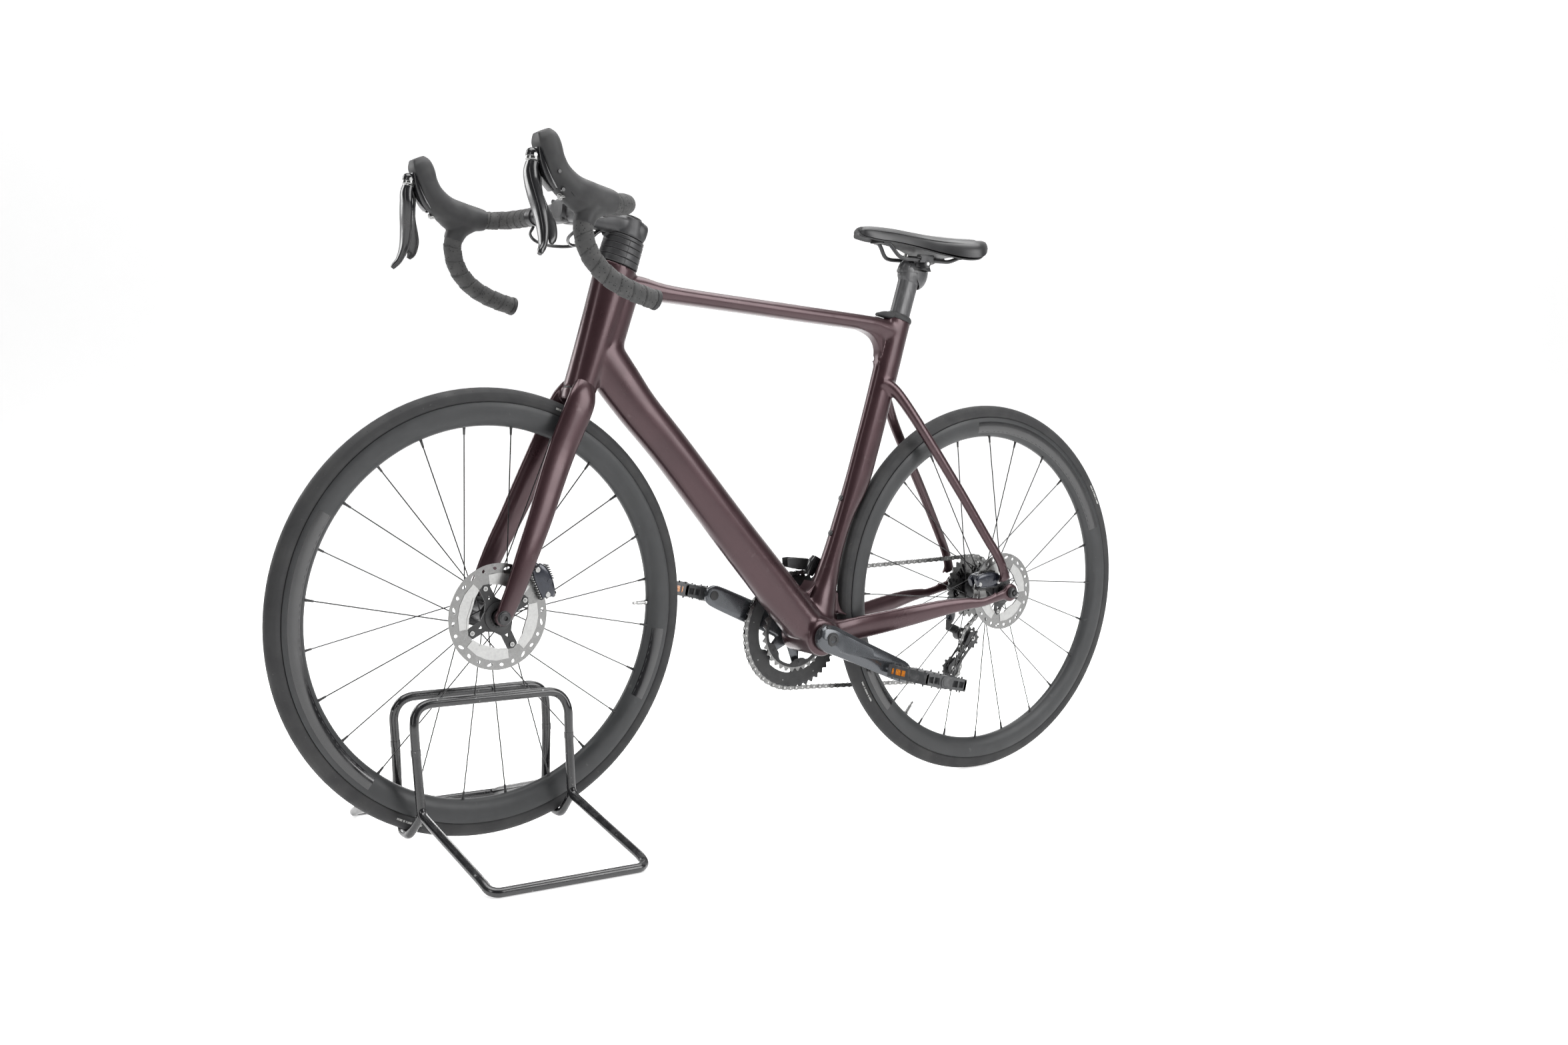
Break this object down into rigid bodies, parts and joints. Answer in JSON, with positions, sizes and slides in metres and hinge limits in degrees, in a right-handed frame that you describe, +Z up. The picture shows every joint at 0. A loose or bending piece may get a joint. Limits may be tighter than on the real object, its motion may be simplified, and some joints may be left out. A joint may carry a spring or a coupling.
{
  "type": "bicycle on stand",
  "caption": "Drop-bar road racing bicycle with disc brakes and deep rims, its front wheel held upright between the hoops of a bent-tube floor stand.",
  "frame": {"origin": "on the floor, midway between the two axles, in the plane of the wheels", "axes": "+X towards the rear wheel, +Y towards the drive side (rider's right), +Z up"},
  "size_m": [1.686, 0.5134, 1.0493],
  "materials": {
    "frame_paint": "satin metallic dark aubergine",
    "tyre": "matt black rubber",
    "rim": "matt black carbon composite",
    "spokes": "black",
    "rotor": "bright steel ring on a black spider",
    "caliper": "dark navy satin",
    "black_alloy": "satin black",
    "black_gloss": "gloss black",
    "tape": "matt black perforated bar tape",
    "hood_rubber": "matt black",
    "silver": "bright",
    "crank": "dark grey gloss",
    "chain_steel": "bright",
    "cog_steel": "bright",
    "pedal": "dark grey with orange reflectors",
    "saddle": "satin black",
    "rail": "black",
    "carbon_satin": "satin black",
    "hose": "black",
    "stand_steel": "gloss black, scuffed"
  },
  "bodies": {
    "frame": {"head_tube": "frame_paint", "top_tube": "frame_paint", "down_tube": "frame_paint", "seat_tube": "frame_paint", "chainstay_left": "frame_paint", "chainstay_right": "frame_paint", "seatstay_left": "frame_paint", "seatstay_right": "frame_paint", "rear_axle": "black_alloy", "rear_caliper": "caliper", "fd_body": "black_alloy", "rd_knuckle": "black_alloy", "chain": "chain_steel"},
    "fork": {"fork_crown": "frame_paint", "fork_blade_left": "frame_paint", "fork_blade_right": "frame_paint", "front_axle": "black_alloy", "front_caliper": "caliper", "spacer_stack": "black_alloy", "stem": "black_alloy", "handlebar": "black_alloy", "bar_tape_left": "tape", "bar_tape_right": "tape", "hood_left": "hood_rubber", "hood_right": "hood_rubber", "brake_hoses": "hose"},
    "left_lever_pivot": {"lever_pivot_left": "silver"},
    "left_brake_lever": {"brake_lever_left": "black_gloss"},
    "left_shift_paddle": {"shift_paddle_left": "black_gloss"},
    "right_lever_pivot": {"lever_pivot_right": "silver"},
    "right_brake_lever": {"brake_lever_right": "black_gloss"},
    "right_shift_paddle": {"shift_paddle_right": "black_gloss"},
    "front_wheel": {"front_tyre": "tyre", "front_rim": "rim", "front_hub": "spokes", "front_rotor": "rotor", "front_valve": "silver"},
    "rear_wheel": {"rear_tyre": "tyre", "rear_rim": "rim", "rear_hub": "spokes", "rear_rotor": "rotor", "rear_valve": "silver"},
    "cassette": {"cassette": "cog_steel"},
    "crankset": {"crank_arm_left": "crank", "crank_arm_right": "crank", "chainring_big": "black_alloy", "chainring_small": "black_alloy"},
    "left_pedal": {"pedal_left": "pedal"},
    "right_pedal": {"pedal_right": "pedal"},
    "changer_link": {"rd_link": "black_alloy"},
    "changer_body": {"rd_body": "black_alloy"},
    "changer_cage": {"rd_cage": "black_alloy"},
    "guide_pulley": {"guide_pulley": "black_gloss"},
    "tension_pulley": {"tension_pulley": "black_gloss"},
    "front_changer": {"fd_cage": "black_alloy"},
    "seatpost": {"seatpost": "carbon_satin"},
    "saddle": {"saddle": "saddle", "saddle_rails": "rail"},
    "stand": {"stand_left": "stand_steel", "stand_right": "stand_steel"}
  },
  "joints": [
    {"name": "steering", "type": "hinge", "parent": "frame", "child": "fork", "pos_m": [-0.45782, 0, 0.3533], "axis": [0.3007, 0, 0.9537], "range_deg": [-60, 60]},
    {"name": "front_wheel_spin", "type": "hinge", "parent": "fork", "child": "front_wheel", "pos_m": [-0.505, 0, 0.3533], "axis": [0, 1, 0], "continuous": true},
    {"name": "rear_wheel_spin", "type": "hinge", "parent": "frame", "child": "rear_wheel", "pos_m": [0.505, 0, 0.338], "axis": [0, 1, 0], "continuous": true},
    {"name": "crank_spin", "type": "hinge", "parent": "frame", "child": "crankset", "pos_m": [0.1065, 0, 0.278], "axis": [0, 1, 0], "continuous": true},
    {"name": "cassette_spin", "type": "hinge", "parent": "frame", "child": "cassette", "pos_m": [0.505, 0, 0.338], "axis": [0, 1, 0], "continuous": true},
    {"name": "left_pedal_spin", "type": "hinge", "parent": "crankset", "child": "left_pedal", "pos_m": [0.26469, -0.129, 0.20922], "axis": [0, 1, 0], "continuous": true},
    {"name": "right_pedal_spin", "type": "hinge", "parent": "crankset", "child": "right_pedal", "pos_m": [-0.05169, 0.129, 0.34678], "axis": [0, 1, 0], "continuous": true},
    {"name": "left_brake_pull", "type": "hinge", "parent": "fork", "child": "left_lever_pivot", "pos_m": [-0.544, -0.205, 1.008], "axis": [0, -1, 0], "range_deg": [0, 16], "stiffness_Nm_per_rad": 1.5},
    {"name": "left_lever_shift", "type": "hinge", "parent": "left_lever_pivot", "child": "left_brake_lever", "pos_m": [-0.544, -0.205, 1.008], "axis": [1, 0, 0], "range_deg": [0, 16], "stiffness_Nm_per_rad": 1},
    {"name": "left_paddle_shift", "type": "hinge", "parent": "left_lever_pivot", "child": "left_shift_paddle", "pos_m": [-0.544, -0.205, 1.008], "axis": [1, 0, 0], "range_deg": [0, 20], "stiffness_Nm_per_rad": 0.2},
    {"name": "right_brake_pull", "type": "hinge", "parent": "fork", "child": "right_lever_pivot", "pos_m": [-0.544, 0.205, 1.008], "axis": [0, -1, 0], "range_deg": [0, 16], "stiffness_Nm_per_rad": 1.5},
    {"name": "right_lever_shift", "type": "hinge", "parent": "right_lever_pivot", "child": "right_brake_lever", "pos_m": [-0.544, 0.205, 1.008], "axis": [-1, 0, 0], "range_deg": [0, 16], "stiffness_Nm_per_rad": 1},
    {"name": "right_paddle_shift", "type": "hinge", "parent": "right_lever_pivot", "child": "right_shift_paddle", "pos_m": [-0.544, 0.205, 1.008], "axis": [-1, 0, 0], "range_deg": [0, 20], "stiffness_Nm_per_rad": 0.2},
    {"name": "changer_shift", "type": "hinge", "parent": "frame", "child": "changer_link", "pos_m": [0.512, 0.084, 0.296], "axis": [0, 0, -1], "range_deg": [0, 50], "deforming": ["chain"]},
    {"name": "changer_body_turn", "type": "hinge", "parent": "changer_link", "child": "changer_body", "pos_m": [0.478, 0.056, 0.262], "axis": [0, 0, -1], "range_deg": [-50, 0]},
    {"name": "changer_cage_swing", "type": "hinge", "parent": "changer_body", "child": "changer_cage", "pos_m": [0.5, 0.029, 0.245], "axis": [0, -1, 0], "range_deg": [-10, 55], "stiffness_Nm_per_rad": 0.6},
    {"name": "guide_pulley_spin", "type": "hinge", "parent": "changer_cage", "child": "guide_pulley", "pos_m": [0.51, 0.029, 0.239], "axis": [0, 1, 0], "continuous": true},
    {"name": "tension_pulley_spin", "type": "hinge", "parent": "changer_cage", "child": "tension_pulley", "pos_m": [0.463, 0.029, 0.186], "axis": [0, 1, 0], "continuous": true},
    {"name": "front_changer_shift", "type": "slide", "parent": "frame", "child": "front_changer", "axis": [0, -1, 0], "range_m": [0, 0.0075]},
    {"name": "seatpost_height", "type": "slide", "parent": "frame", "child": "seatpost", "axis": [0.284, 0, 0.9588], "range_m": [-0.024, 0.045]},
    {"name": "saddle_fore_aft", "type": "slide", "parent": "seatpost", "child": "saddle", "axis": [1, 0, 0], "range_m": [-0.015, 0.015]},
    {"name": "stand_lift_off", "type": "slide", "parent": "fork", "child": "stand", "axis": [0, 0, -1], "range_m": [0, 0.3]}
  ],
  "couplings": [
    {"joint": "cassette_spin", "follows": "crank_spin", "ratio": 1.7857},
    {"joint": "guide_pulley_spin", "follows": "crank_spin", "ratio": -4.5455},
    {"joint": "tension_pulley_spin", "follows": "crank_spin", "ratio": 4.5455},
    {"joint": "changer_body_turn", "follows": "changer_shift", "ratio": -1}
  ]
}
